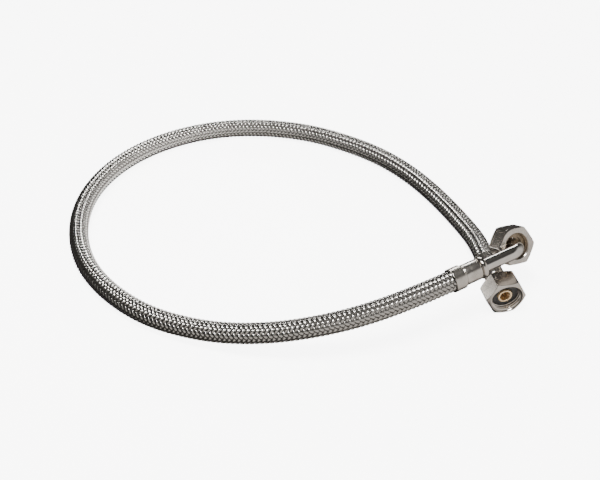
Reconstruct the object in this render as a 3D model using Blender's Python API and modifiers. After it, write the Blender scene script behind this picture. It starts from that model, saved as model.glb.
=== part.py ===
"""Braided supply line: a stainless-braided water hose with a straight swivel-nut end and a 90 degree elbow end.

Metres, +Z up.  The hose lies in a loop on the plane z = 0 and its elbow end rests across its straight end.
Every fitting is modelled along its own local +Z, which points out of the connector's mouth, and is hung on an
empty that stands on the connector's axis.
"""

import math

import bmesh
import bpy
import numpy as np
from mathutils import Matrix, Vector

MM = 0.001
FIT = 0.3 * MM                    # clearance kept between pieces that touch on the real object

# ---- the hose ---------------------------------------------------------------------------------------------
HOSE_OD = 14.0 * MM               # over the wire braid
BRAID_WALL = 0.6 * MM             # two crossing layers of wire
LINER_OD = 11.9 * MM
LINER_BORE = 9.0 * MM
HOSE_STEP = 28.0 * MM             # distance between the points of the hose's solids along its free run

# ---- the crimped ferrule, the same at both ends -----------------------------------------------------------
FERRULE_WALL = 0.5 * MM
CRIMP_OD = 13.7 * MM              # the part that is squeezed onto the hose
CRIMP_LENGTH = 12.3 * MM
COLLAR_LENGTH = 8.2 * MM          # the wider, unsqueezed rear end that guides the braid
COLLAR_PLAY = 0.35 * MM           # radial room between the collar and the braid
LIP_THICKNESS = 0.6 * MM          # the ferrule's inturned front end
GROOVE_DEPTH = 0.35 * MM          # turned groove between the crimp and the collar
GROOVE_WIDTH = 0.6 * MM

# ---- the metal waterway -----------------------------------------------------------------------------------
BEAD_OD = 15.0 * MM               # round shoulder in front of the ferrule; it stops the nut
BEAD_LENGTH = 4.2 * MM
TUBE_OD = 9.0 * MM
TUBE_BORE = 7.2 * MM
BARB_BORE = 6.2 * MM
BARB_OD = 8.6 * MM
BARB_ROOT = 7.8 * MM
BARB_COUNT = 5
BARB_LENGTH = 18.0 * MM
NOSE_OD = 9.5 * MM                # the straight tail's neck and nose

# ---- the swivel nut, the same at both ends ----------------------------------------------------------------
NUT_ACROSS_FLATS = 24.0 * MM
NUT_LENGTH = 14.5 * MM
NUT_FACE_OD = 22.0 * MM           # flat ring left at the mouth by the chamfer
NUT_REAR_FACE_OD = 24.6 * MM      # where the small rear chamfer starts
NUT_CHAMFER = math.radians(30.0)
THREAD_BORE = 18.63 * MM          # crests of the G1/2 female thread
MOUTH_OD = 21.0 * MM              # countersink at the mouth
SOCKET_DEPTH = 10.5 * MM          # mouth to the internal shoulder
REAR_HOLE = 17.0 * MM
REAR_HOLE_CHAMFER = 0.6 * MM

# ---- what sits inside the nut -----------------------------------------------------------------------------
SLIP_RING_THICKNESS = 0.8 * MM
SLIP_RING_BORE = 12.0 * MM
FLANGE_THICKNESS = 2.0 * MM
WASHER_THICKNESS = 2.0 * MM
SOCKET_PLAY = 0.25 * MM           # radial room between those discs and the thread crests
WASHER_BORE_PLAY = 0.3 * MM
NOSE_PROTRUSION = 1.6 * MM        # nose beyond the washer's sealing face

# ---- where the two connectors lie -------------------------------------------------------------------------
STRAIGHT_NECK = 1.5 * MM          # nut to bead, with the nut pulled forward
STRAIGHT_MOUTH = Vector((7.3 * MM, -19.6 * MM, NUT_ACROSS_FLATS / 2))    # the nut lies on one of its flats
STRAIGHT_YAW = math.radians(-90.0)
ELBOW_HEIGHT = NUT_ACROSS_FLATS * 47 / 30   # the elbow lies on the straight end, so it rises with the nuts
ELBOW_CORNER = Vector((22.4 * MM, -0.6 * MM, ELBOW_HEIGHT))    # where the tube's two legs meet
ELBOW_YAW = math.radians(16.3)    # heading of the long leg, out of the hose
ELBOW_RISE = math.radians(5.5)
ELBOW_DROOP = math.radians(28.6)  # turn of the short leg below the horizontal
BEND_RADIUS = 11.0 * MM
ELBOW_REACH = 22.0 * MM           # long leg's axis to the nut's mouth
ELBOW_LEG = 31.8 * MM             # corner to the bead's front
ELBOW_NUT_TURN = math.radians(5.0)
TUBE_SOCKET = 2.7 * MM            # depth of the socket in the bead

# ---- the route of the hose between the two ferrules, from the straight end to the elbow end ---------------
ROUTE_MOUTH_HEIGHT = 12.0 * MM    # heights of the straight mouth and the elbow's corner these points belong to
ROUTE_ELBOW_HEIGHT = 37.6 * MM
ROUTE_MM = [
    (7.8, 34.1, 11.5), (8.0, 47.1, 10.0), (6.4, 64.1, 8.2), (1.8, 88.1, 7.1), (-5.6, 113.1, 7.0),
    (-16.6, 139.1, 7.0), (-32.6, 164.1, 7.0), (-51.5, 184.1, 7.0), (-74.5, 202.1, 7.0), (-99.0, 214.3, 7.0),
    (-125.0, 221.6, 7.0), (-152.5, 223.4, 7.0), (-178.0, 219.4, 7.0), (-203.0, 209.7, 7.0),
    (-229.0, 191.1, 7.0), (-252.4, 158.7, 7.0), (-263.4, 115.1, 7.0), (-258.0, 71.5, 7.0),
    (-241.0, 38.6, 7.0), (-220.5, 15.7, 7.2), (-201.5, 1.4, 8.4), (-184.9, -8.7, 10.4),
    (-169.4, -16.2, 12.9), (-156.2, -21.3, 15.4), (-143.1, -25.3, 18.0), (-129.9, -28.2, 20.7),
    (-116.2, -30.0, 23.2), (-100.4, -30.7, 25.9), (-81.0, -29.3, 28.7), (-56.6, -23.9, 30.7),
]

STEPS = 32                        # segments round a turned piece


# ============================================================================================================
# scene, materials and building blocks
# ============================================================================================================

for old in list(bpy.data.objects):
    bpy.data.objects.remove(old, do_unlink=True)

PARTS = bpy.data.collections.new("braided_supply_line")
CUTTERS = bpy.data.collections.new("cutters")
bpy.context.scene.collection.children.link(PARTS)
bpy.context.scene.collection.children.link(CUTTERS)


def make_material(name, colour, roughness, metallic):
    """A Principled material with one colour."""
    material = bpy.data.materials.new(name)
    material.use_nodes = True
    shader = material.node_tree.nodes["Principled BSDF"]
    shader.inputs["Base Color"].default_value = (*colour, 1.0)
    shader.inputs["Roughness"].default_value = roughness
    shader.inputs["Metallic"].default_value = metallic
    return material


STEEL_BRAID = make_material("steel_braid", (0.56, 0.55, 0.53), 0.35, 1.0)
RUBBER = make_material("black_rubber", (0.03, 0.03, 0.03), 0.70, 0.0)
NICKEL = make_material("nickel_plate", (0.66, 0.63, 0.59), 0.18, 1.0)
STAINLESS = make_material("stainless_sleeve", (0.62, 0.59, 0.55), 0.28, 1.0)
BRASS = make_material("bare_brass", (0.78, 0.57, 0.30), 0.25, 1.0)
WASHER_FIBRE = make_material("washer_rubber", (0.06, 0.06, 0.06), 0.60, 0.0)


def finish_round(obj):
    """Shade a piece smooth and keep its real edges crisp."""
    obj.data.shade_smooth()
    obj.data.set_sharp_from_angle(angle=math.radians(35.0))


def place_part(name, mesh, material, parent=None):
    """Put a mesh into the parts collection, in its parent's frame."""
    obj = bpy.data.objects.new(name, mesh)
    PARTS.objects.link(obj)
    obj.parent = parent
    obj.data.materials.clear()
    obj.data.materials.append(material)
    return obj


def make_axis(name, origin, outward, turn=0.0):
    """An empty whose +Z points out of a connector and whose X stays level."""
    z = outward.normalized()
    x = z.cross(Vector((0.0, 0.0, 1.0))).normalized()
    y = z.cross(x)
    matrix = Matrix((x, y, z)).transposed().to_4x4()
    matrix.translation = origin
    axis = bpy.data.objects.new(name, None)
    axis.matrix_world = matrix @ Matrix.Rotation(turn, 4, "Z")
    axis.empty_display_size = 0.01
    PARTS.objects.link(axis)
    return axis


def evaluated_mesh(obj):
    """The object's mesh after its modifiers."""
    bpy.context.view_layer.update()
    graph = bpy.context.evaluated_depsgraph_get()
    return bpy.data.meshes.new_from_object(obj.evaluated_get(graph))


def turned_mesh(name, section, steps=STEPS):
    """Revolve a closed section, (radius, z) down its outer side and up its inner side, about Z."""
    mesh = bpy.data.meshes.new(name)
    points = [(radius, 0.0, z) for radius, z in section]
    edges = [(i, (i + 1) % len(points)) for i in range(len(points))]
    mesh.from_pydata(points, edges, [])
    obj = bpy.data.objects.new(name + "_section", mesh)
    CUTTERS.objects.link(obj)
    screw = obj.modifiers.new("turn", "SCREW")
    screw.axis = "Z"
    screw.angle = math.tau
    screw.steps = steps
    screw.render_steps = steps
    screw.use_merge_vertices = True
    screw.merge_threshold = 0.00001
    result = evaluated_mesh(obj)
    bpy.data.objects.remove(obj, do_unlink=True)
    result.name = name
    return result


def turned_part(name, section, material, parent, steps=STEPS):
    """A turned sub-part hung on a connector's axis."""
    part = place_part(name, turned_mesh(name, section, steps), material, parent)
    finish_round(part)
    return part


def make_cutter(name, section, parent, steps=STEPS):
    """A turned ring that cuts another piece and is never part of the object."""
    cutter = bpy.data.objects.new(name, turned_mesh(name, section, steps))
    CUTTERS.objects.link(cutter)
    cutter.parent = parent
    cutter.hide_render = True
    cutter.display_type = "WIRE"
    return cutter


def cut(obj, cutter):
    """Take a cutter away from a piece."""
    boolean = obj.modifiers.new(cutter.name, "BOOLEAN")
    boolean.operation = "DIFFERENCE"
    boolean.solver = "EXACT"
    boolean.object = cutter


def swept_mesh(name, points, radii, resolution):
    """A closed round bar along a polyline, its radius given at each point."""
    curve = bpy.data.curves.new(name, "CURVE")
    curve.dimensions = "3D"
    curve.bevel_depth = 1.0
    curve.bevel_resolution = resolution
    curve.use_fill_caps = True
    spline = curve.splines.new("POLY")
    spline.points.add(len(points) - 1)
    for control, point, radius in zip(spline.points, points, radii):
        control.co = (*point, 1.0)
        control.radius = radius
    obj = bpy.data.objects.new(name + "_sweep", curve)
    CUTTERS.objects.link(obj)
    mesh = evaluated_mesh(obj)
    bpy.data.objects.remove(obj, do_unlink=True)
    grid = bmesh.new()
    grid.from_mesh(mesh)
    bmesh.ops.remove_doubles(grid, verts=grid.verts, dist=0.00001)
    bmesh.ops.recalc_face_normals(grid, faces=grid.faces)
    grid.to_mesh(mesh)
    grid.free()
    return mesh


def hollow_tube(name, points, outer, inner, material, resolution):
    """A tube open at both ends: a swept bar less a longer, thinner one on the same route."""
    tube = place_part(name, swept_mesh(name, points, outer, resolution), material)
    overrun = 2.0 * MM
    first = points[0] + (points[0] - points[1]).normalized() * overrun
    last = points[-1] + (points[-1] - points[-2]).normalized() * overrun
    core_mesh = swept_mesh(name + "_core", [first, *points, last], [inner[0], *inner, inner[-1]], resolution)
    core = bpy.data.objects.new(name + "_core", core_mesh)
    CUTTERS.objects.link(core)
    core.hide_render = True
    core.display_type = "WIRE"
    cut(tube, core)
    finish_round(tube)
    return tube


# ============================================================================================================
# frames of the two connectors
# ============================================================================================================

def direction(yaw, rise=0.0):
    """Unit vector from a heading about Z and an angle above the horizontal."""
    return Vector((math.cos(yaw) * math.cos(rise), math.sin(yaw) * math.cos(rise), math.sin(rise)))


STRAIGHT_OUT = direction(STRAIGHT_YAW)
LEG_OUT = direction(ELBOW_YAW, ELBOW_RISE)
LEG_LEFT = direction(ELBOW_YAW + math.radians(90.0))
LEG_UP = LEG_OUT.cross(LEG_LEFT)
ELBOW_OUT = LEG_LEFT * math.cos(ELBOW_DROOP) - LEG_UP * math.sin(ELBOW_DROOP)

STRAIGHT_BEAD_Z = -(NUT_LENGTH + STRAIGHT_NECK)   # bead's front on the straight connector's axis
ELBOW_MOUTH = ELBOW_CORNER + ELBOW_OUT * ELBOW_REACH
ELBOW_BEAD = ELBOW_CORNER - LEG_OUT * ELBOW_LEG

straight_axis = make_axis("straight_axis", STRAIGHT_MOUTH, STRAIGHT_OUT)
straight_crimp_axis = make_axis("straight_crimp_axis", STRAIGHT_MOUTH + STRAIGHT_OUT * STRAIGHT_BEAD_Z, STRAIGHT_OUT)
elbow_axis = make_axis("elbow_axis", ELBOW_MOUTH, ELBOW_OUT, ELBOW_NUT_TURN)
elbow_crimp_axis = make_axis("elbow_crimp_axis", ELBOW_BEAD, LEG_OUT)

# Stack inside the nut, as depths behind the mouth, built forward from the nut's internal shoulder.
SLIP_RING_BACK = SOCKET_DEPTH - FIT
SLIP_RING_FRONT = SLIP_RING_BACK - SLIP_RING_THICKNESS
FLANGE_BACK = SLIP_RING_FRONT - FIT
FLANGE_FRONT = FLANGE_BACK - FLANGE_THICKNESS
WASHER_BACK = FLANGE_FRONT - FIT
WASHER_FRONT = WASHER_BACK - WASHER_THICKNESS
NOSE_FRONT = WASHER_FRONT - NOSE_PROTRUSION
DISC_RADIUS = THREAD_BORE / 2 - SOCKET_PLAY

# Stack at the crimp, as distances behind the bead's front.
FERRULE_FRONT = BEAD_LENGTH + FIT
CRIMP_END = FERRULE_FRONT + CRIMP_LENGTH
FERRULE_END = CRIMP_END + COLLAR_LENGTH
HOSE_START = FERRULE_FRONT + LIP_THICKNESS + FIT
CRIMP_BORE = CRIMP_OD / 2 - FERRULE_WALL
COLLAR_BORE = HOSE_OD / 2 + COLLAR_PLAY
COLLAR_RADIUS = COLLAR_BORE + FERRULE_WALL


# ============================================================================================================
# turned and cut pieces
# ============================================================================================================

def barb_profile(start):
    """Outer side of the barbed tail, from behind the bead to its tip: BARB_COUNT ridges that fall towards the tip."""
    pitch = BARB_LENGTH / BARB_COUNT
    points = []
    for ridge in range(BARB_COUNT):
        top = start - ridge * pitch
        points.append((BARB_ROOT / 2, top))
        points.append((BARB_OD / 2, top - 0.35 * pitch))
        points.append((BARB_OD / 2, top - 0.45 * pitch))
    points.append((BARB_ROOT / 2, start - BARB_LENGTH))
    return points


def bead_profile(front):
    """Outer side of the rounded bead, down from its front face."""
    radius = BEAD_OD / 2
    edge = 1.1 * MM
    return [
        (radius - edge, front),
        (radius - 0.3 * edge, front - 0.3 * edge),
        (radius, front - edge),
        (radius, front - BEAD_LENGTH + edge),
        (radius - 0.3 * edge, front - BEAD_LENGTH + 0.3 * edge),
        (radius - edge, front - BEAD_LENGTH),
    ]


def make_straight_tail():
    """One turned piece: nose, flange, neck, bead and barbs, bored right through."""
    barb_start = STRAIGHT_BEAD_Z - BEAD_LENGTH
    outer = [
        (TUBE_BORE / 2 + 0.3 * MM, -NOSE_FRONT),
        (NOSE_OD / 2 - 0.3 * MM, -NOSE_FRONT),
        (NOSE_OD / 2, -NOSE_FRONT - 0.3 * MM),
        (NOSE_OD / 2, -FLANGE_FRONT),
        (DISC_RADIUS, -FLANGE_FRONT),
        (DISC_RADIUS, -FLANGE_BACK),
        (NOSE_OD / 2, -FLANGE_BACK),
        (NOSE_OD / 2, STRAIGHT_BEAD_Z),
        *bead_profile(STRAIGHT_BEAD_Z),
        *barb_profile(barb_start),
    ]
    inner = [
        (BARB_BORE / 2, barb_start - BARB_LENGTH),
        (BARB_BORE / 2, barb_start),
        (TUBE_BORE / 2, barb_start + 1.0 * MM),
        (TUBE_BORE / 2, -NOSE_FRONT - 0.3 * MM),
    ]
    return turned_part("straight_tail", outer + inner, NICKEL, straight_axis)


def make_elbow_tail():
    """The elbow's bead and barbs, with a socket in the bead for the bent tube."""
    socket = TUBE_OD / 2 + FIT
    section = [
        (socket, 0.0),
        *bead_profile(0.0),
        *barb_profile(-BEAD_LENGTH),
        (BARB_BORE / 2, -BEAD_LENGTH - BARB_LENGTH),
        (BARB_BORE / 2, -BEAD_LENGTH),
        (TUBE_BORE / 2, -TUBE_SOCKET - 2 * FIT),
        (TUBE_BORE / 2, -TUBE_SOCKET),
        (socket, -TUBE_SOCKET),
    ]
    return turned_part("elbow_tail", section, NICKEL, elbow_crimp_axis)


def make_ferrule(name, parent):
    """Thin sleeve: inturned lip, crimped cylinder, turned groove and wider collar."""
    lip_hole = BARB_ROOT / 2 + 2 * FIT
    radius = CRIMP_OD / 2
    section = [
        (lip_hole, -FERRULE_FRONT),
        (radius - 0.4 * MM, -FERRULE_FRONT),
        (radius, -FERRULE_FRONT - 0.4 * MM),
        (radius, -CRIMP_END + GROOVE_WIDTH),
        (radius - GROOVE_DEPTH, -CRIMP_END + 0.5 * GROOVE_WIDTH),
        (radius, -CRIMP_END),
        (COLLAR_RADIUS - 0.3 * MM, -CRIMP_END),
        (COLLAR_RADIUS, -CRIMP_END - 0.3 * MM),
        (COLLAR_RADIUS, -FERRULE_END),
        (COLLAR_BORE, -FERRULE_END),
        (COLLAR_BORE, -CRIMP_END - FERRULE_WALL),
        (CRIMP_BORE, -CRIMP_END - FERRULE_WALL),
        (CRIMP_BORE, -FERRULE_FRONT - LIP_THICKNESS),
        (lip_hole, -FERRULE_FRONT - LIP_THICKNESS),
    ]
    return turned_part(name, section, STAINLESS, parent)


def make_disc(name, bore_radius, front, back, material, parent):
    """A flat ring between two depths behind the mouth."""
    section = [(DISC_RADIUS, -front), (DISC_RADIUS, -back), (bore_radius, -back), (bore_radius, -front)]
    return turned_part(name, section, material, parent)


def chamfer_section(face_radius, face_z, outward):
    """Triangle outside a 30 degree cone that meets the nut's end face at face_radius; outward is +1 or -1 along Z."""
    over = 1.0 * MM
    slope = math.tan(NUT_CHAMFER)
    reach = NUT_ACROSS_FLATS * 0.65
    tip = face_radius - over / slope
    points = [(tip, face_z + outward * over), (reach, face_z + outward * over),
              (reach, face_z - outward * (reach - face_radius) * slope)]
    return points if outward > 0 else points[::-1]


def make_nut(name, parent):
    """Hexagon bar, chamfered at both ends, with a stepped bore: countersink, thread bore and rear hole."""
    bpy.ops.mesh.primitive_cylinder_add(vertices=6, radius=NUT_ACROSS_FLATS / math.sqrt(3.0), depth=NUT_LENGTH)
    blank = bpy.context.active_object
    mesh = blank.data.copy()
    bpy.data.objects.remove(blank, do_unlink=True)
    mesh.transform(Matrix.Translation((0.0, 0.0, -NUT_LENGTH / 2)) @ Matrix.Rotation(math.radians(30.0), 4, "Z"))
    nut = place_part(name, mesh, NICKEL, parent)
    cut(nut, make_cutter(name + "_mouth_chamfer", chamfer_section(NUT_FACE_OD / 2, 0.0, 1), parent))
    cut(nut, make_cutter(name + "_rear_chamfer", chamfer_section(NUT_REAR_FACE_OD / 2, -NUT_LENGTH, -1), parent))
    over = 1.0 * MM
    core = 1.0 * MM
    sink = (MOUTH_OD - THREAD_BORE) / 2
    rear = REAR_HOLE / 2
    bore = [
        (MOUTH_OD / 2 + over, over),
        (THREAD_BORE / 2, -sink),
        (THREAD_BORE / 2, -SOCKET_DEPTH),
        (rear, -SOCKET_DEPTH),
        (rear, -NUT_LENGTH + REAR_HOLE_CHAMFER),
        (rear + REAR_HOLE_CHAMFER + over, -NUT_LENGTH - over),
        (core, -NUT_LENGTH - over),
        (core, over),
    ]
    cut(nut, make_cutter(name + "_bore", bore, parent))
    plug = [(core + over, 2 * over), (core + over, -NUT_LENGTH - 2 * over), (0.0, -NUT_LENGTH - 2 * over), (0.0, 2 * over)]
    cut(nut, make_cutter(name + "_bore_core", plug, parent))
    finish_round(nut)
    return nut


def make_elbow_tube():
    """Bent tube: socket end in the bead, long leg, 90 degree bend, short leg that ends as the nose."""
    start = ELBOW_CORNER - LEG_OUT * (ELBOW_LEG + TUBE_SOCKET - FIT)
    centre = ELBOW_CORNER - LEG_OUT * BEND_RADIUS + ELBOW_OUT * BEND_RADIUS
    points = [start, start.lerp(ELBOW_CORNER - LEG_OUT * BEND_RADIUS, 0.5)]
    bend_steps = 10
    for i in range(bend_steps + 1):
        angle = math.radians(90.0) * i / bend_steps
        points.append(centre + (LEG_OUT * math.sin(angle) - ELBOW_OUT * math.cos(angle)) * BEND_RADIUS)
    points.append(ELBOW_MOUTH - ELBOW_OUT * NOSE_FRONT)
    outer = [TUBE_OD / 2] * len(points)
    inner = [TUBE_BORE / 2] * len(points)
    return hollow_tube("elbow_tube", points, outer, inner, NICKEL, 6)


# ============================================================================================================
# the hose
# ============================================================================================================

def smooth_curve(knots, spacing):
    """Points at a given spacing on the natural cubic spline through the knots, by chord length."""
    knots = np.array([tuple(k) for k in knots])
    lengths = np.linalg.norm(np.diff(knots, axis=0), axis=1)
    at = np.concatenate([[0.0], np.cumsum(lengths)])
    count = len(knots)
    system = np.zeros((count, count))
    target = np.zeros_like(knots)
    system[0, 0] = system[-1, -1] = 1.0
    for i in range(1, count - 1):
        system[i, i - 1] = lengths[i - 1]
        system[i, i] = 2.0 * (lengths[i - 1] + lengths[i])
        system[i, i + 1] = lengths[i]
        target[i] = 6.0 * ((knots[i + 1] - knots[i]) / lengths[i] - (knots[i] - knots[i - 1]) / lengths[i - 1])
    bending = np.linalg.solve(system, target)
    samples = np.linspace(0.0, at[-1], max(2, int(round(at[-1] / spacing)) + 1))
    span = np.clip(np.searchsorted(at, samples, side="right") - 1, 0, count - 2)
    width = lengths[span][:, None]
    before = (samples - at[span])[:, None]
    after = width - before
    low, high = bending[span], bending[span + 1]
    return (
        (low * after**3 + high * before**3) / (6.0 * width)
        + (knots[span] / width - low * width / 6.0) * after
        + (knots[span + 1] / width - high * width / 6.0) * before
    )


def crimp_points(bead, outward):
    """The hose's points inside one ferrule, from its cut end to the collar's mouth."""
    widen = 2.4 * MM
    depths = [HOSE_START, (HOSE_START + CRIMP_END) / 2, CRIMP_END + 2 * FIT, CRIMP_END + 2 * FIT + widen, FERRULE_END]
    return [bead - outward * depth for depth in depths]


def hose_route():
    """All points of the hose's solids, and for each whether the ferrule squeezes it there."""
    near = crimp_points(STRAIGHT_MOUTH + STRAIGHT_OUT * STRAIGHT_BEAD_Z, STRAIGHT_OUT)
    far = crimp_points(ELBOW_BEAD, LEG_OUT)[::-1]
    lowest = HOSE_OD / 2
    rises = (STRAIGHT_MOUTH.z - ROUTE_MOUTH_HEIGHT, ELBOW_CORNER.z - ROUTE_ELBOW_HEIGHT)
    climbs = (near[-1].z - rises[0] - lowest, far[0].z - rises[1] - lowest)

    def carried(place, point):
        """A route point, lifted with the end it belongs to by a smooth step of its share of that end's climb."""
        end = 0 if place < len(ROUTE_MM) / 2 else 1
        share = (point.z - lowest) / climbs[end]
        return point + Vector((0.0, 0.0, rises[end] * share * share * (3.0 - 2.0 * share)))

    route = [carried(place, Vector(p) * MM) for place, p in enumerate(ROUTE_MM)]
    knots = [near[-2], near[-1], *route, far[0], far[1]]
    free = [Vector(p) for p in smooth_curve(knots, HOSE_STEP)]
    points = near[:-1] + free[1:-1] + far[1:]
    squeezed = [True] * 3 + [False] * (len(points) - 6) + [True] * 3
    return points, squeezed


def make_hose():
    """The wire sleeve and the rubber liner inside it, both narrowed where the ferrules are crimped."""
    points, squeezed = hose_route()

    def radii(free, crimped):
        return [crimped if tight else free for tight in squeezed]

    sleeve = CRIMP_BORE - FIT
    sleeve_bore = sleeve - BRAID_WALL
    liner = sleeve_bore - FIT
    liner_bore = BARB_OD / 2 + 1.5 * FIT
    hollow_tube("braid_sleeve", points, radii(HOSE_OD / 2, sleeve), radii(HOSE_OD / 2 - BRAID_WALL, sleeve_bore),
                STEEL_BRAID, 4)
    hollow_tube("inner_hose", points, radii(LINER_OD / 2, liner), radii(LINER_BORE / 2, liner_bore), RUBBER, 4)


# ============================================================================================================
# assembly
# ============================================================================================================

make_hose()

make_ferrule("straight_ferrule", straight_crimp_axis)
make_straight_tail()
make_disc("straight_slip_ring", SLIP_RING_BORE / 2, SLIP_RING_FRONT, SLIP_RING_BACK, BRASS, straight_axis)
make_nut("straight_nut", straight_axis)
make_disc("straight_washer", NOSE_OD / 2 + WASHER_BORE_PLAY, WASHER_FRONT, WASHER_BACK, WASHER_FIBRE, straight_axis)

make_ferrule("elbow_ferrule", elbow_crimp_axis)
make_elbow_tail()
make_elbow_tube()
make_disc("elbow_flange", TUBE_OD / 2 + FIT, FLANGE_FRONT, FLANGE_BACK, BRASS, elbow_axis)
make_disc("elbow_slip_ring", SLIP_RING_BORE / 2, SLIP_RING_FRONT, SLIP_RING_BACK, BRASS, elbow_axis)
make_nut("elbow_nut", elbow_axis)
make_disc("elbow_washer", TUBE_OD / 2 + WASHER_BORE_PLAY, WASHER_FRONT, WASHER_BACK, WASHER_FIBRE, elbow_axis)
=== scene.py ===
"""Braided supply line: the finished surfaces of its hose, its two crimped ends and their swivel nuts.

Metres, +Z up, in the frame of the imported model.  The hose is one woven surface laid out on the lattice of its
wire bundles, and every fitting is a profile turned about its own axis or carried along its own line.
"""

import math

import bpy
import numpy as np
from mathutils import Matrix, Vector


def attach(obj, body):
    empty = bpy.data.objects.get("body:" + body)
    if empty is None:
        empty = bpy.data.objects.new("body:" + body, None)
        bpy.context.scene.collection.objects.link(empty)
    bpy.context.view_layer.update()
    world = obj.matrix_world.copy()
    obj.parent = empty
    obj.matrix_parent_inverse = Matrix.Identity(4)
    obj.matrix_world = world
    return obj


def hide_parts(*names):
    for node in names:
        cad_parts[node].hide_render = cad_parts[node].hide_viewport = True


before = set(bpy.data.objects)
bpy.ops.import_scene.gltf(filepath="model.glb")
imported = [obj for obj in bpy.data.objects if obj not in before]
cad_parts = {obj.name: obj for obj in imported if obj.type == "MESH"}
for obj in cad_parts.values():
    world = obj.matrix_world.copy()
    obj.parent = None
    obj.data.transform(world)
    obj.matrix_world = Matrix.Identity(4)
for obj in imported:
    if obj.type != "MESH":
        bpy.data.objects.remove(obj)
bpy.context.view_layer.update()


MM = 0.001


# ============================================================================================================
# camera, floor and light
# ============================================================================================================

def look_from(place, yaw, dip, lens):
    """The scene's camera at a place, turned to a heading and dipped below the horizon, both in degrees."""
    yaw, dip = math.radians(yaw), math.radians(dip)
    heading = Vector((math.cos(yaw) * math.cos(dip), math.sin(yaw) * math.cos(dip), -math.sin(dip)))
    data = bpy.data.cameras.new("studio_camera")
    data.lens = lens
    data.sensor_width = 36.0
    data.clip_start = 0.01
    data.clip_end = 50.0
    camera = bpy.data.objects.new("studio_camera", data)
    bpy.context.scene.collection.objects.link(camera)
    camera.location = place
    camera.rotation_euler = heading.to_track_quat("-Z", "Y").to_euler()
    bpy.context.scene.camera = camera


def softbox(name, place, aim, width, height, watts, colour):
    """A rectangular studio light at a place, facing a point."""
    data = bpy.data.lights.new(name, "AREA")
    data.shape = "RECTANGLE"
    data.size = width
    data.size_y = height
    data.energy = watts
    data.color = colour
    light = bpy.data.objects.new(name, data)
    bpy.context.scene.collection.objects.link(light)
    light.location = place
    light.rotation_euler = (Vector(aim) - Vector(place)).to_track_quat("-Z", "Y").to_euler()


look_from((-0.2211, -0.4674, 0.4614), 78.5, 39.5, 60.9)
softbox("overhead_softbox", (-0.30, -0.05, 1.25), (-0.1, 0.08, 0.0), 0.55, 0.30, 24.0, (1.0, 0.985, 0.96))
softbox("back_softbox", (0.25, 1.35, 0.55), (-0.05, 0.05, 0.0), 0.90, 0.16, 7.0, (1.0, 0.99, 0.97))


# ============================================================================================================
# node sheets
# ============================================================================================================

class Level:
    """A value on a node sheet; arithmetic on it adds Math nodes."""

    def __init__(self, sheet, socket):
        self.sheet = sheet
        self.socket = socket

    def maths(self, operation, *terms):
        return self.sheet.add("ShaderNodeMath", {"operation": operation}, dict(enumerate(terms)))

    def __add__(self, other):
        return self.maths("ADD", self, other)

    __radd__ = __add__

    def __sub__(self, other):
        return self.maths("SUBTRACT", self, other)

    def __rsub__(self, other):
        return self.maths("SUBTRACT", other, self)

    def __mul__(self, other):
        return self.maths("MULTIPLY", self, other)

    __rmul__ = __mul__

    def __pow__(self, other):
        return self.maths("POWER", self, other)

    def __abs__(self):
        return self.maths("ABSOLUTE", self)

    def fraction(self):
        """What is left of the value past its whole part."""
        return self.maths("FRACT", self)


class Sheet:
    """The nodes of a material, or of another block such as the room."""

    def __init__(self, name, block=None, shader="Principled BSDF"):
        self.material = block or bpy.data.materials.new(name)
        self.material.use_nodes = True
        self.nodes = self.material.node_tree.nodes
        self.links = self.material.node_tree.links
        self.shader = self.nodes[shader]

    def add(self, kind, settings, inputs, output=0):
        """Any node: its type, settings, the values or links of its sockets, and the output that is wanted."""
        node = self.nodes.new(kind)
        for key, value in settings.items():
            setattr(node, key, value)
        for key, value in inputs.items():
            if isinstance(value, Level):
                self.links.new(value.socket, node.inputs[key])
            else:
                node.inputs[key].default_value = value
        return Level(self, node.outputs[output])

    def put(self, name, value):
        """Feed or set one socket of the material's shader."""
        if isinstance(value, Level):
            self.links.new(value.socket, self.shader.inputs[name])
        else:
            self.shader.inputs[name].default_value = value

    def place(self):
        """Position on the object, in metres."""
        return self.add("ShaderNodeTexCoord", {}, {}, "Object")

    def chart(self, name):
        """The two coordinates of one of the piece's own maps."""
        point = self.add("ShaderNodeUVMap", {"uv_map": name}, {})
        return tuple(self.add("ShaderNodeSeparateXYZ", {}, {0: point}, axis) for axis in ("X", "Y"))

    def grain(self, scale, detail=3.0, vector=None, roughness=0.55):
        """Noise from 0 to 1 at a scale in cycles a metre, or in cycles of a given vector."""
        vector = self.place() if vector is None else vector
        inputs = {"Vector": vector, "Scale": scale, "Detail": detail, "Roughness": roughness}
        return self.add("ShaderNodeTexNoise", {}, inputs)

    def ease(self, value, low, high, start=0.0, end=1.0):
        """A smooth step of a value from start at low to end at high."""
        inputs = {0: value, 1: low, 2: high, 3: start, 4: end}
        return self.add("ShaderNodeMapRange", {"interpolation_type": "SMOOTHSTEP"}, inputs)

    def blend(self, factor, first, second):
        """Mix of two colours."""
        inputs = {0: factor, 6: first, 7: second}
        return self.add("ShaderNodeMix", {"data_type": "RGBA"}, inputs, 2)

    def relief(self, height, distance, strength=1.0):
        """Bump of a height between 0 and 1 over a distance in metres."""
        inputs = {"Height": height, "Distance": distance, "Strength": strength}
        self.put("Normal", self.add("ShaderNodeBump", {}, inputs))


def unit(vector):
    """A vector, or each of a table of vectors, at length 1."""
    vector = np.asarray(vector, float)
    return vector / np.linalg.norm(vector, axis=-1, keepdims=True)


def tone(red, green, blue):
    """An opaque colour."""
    return (red, green, blue, 1.0)


WIRES = 7.0                   # side by side in a bundle of the braid


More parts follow.
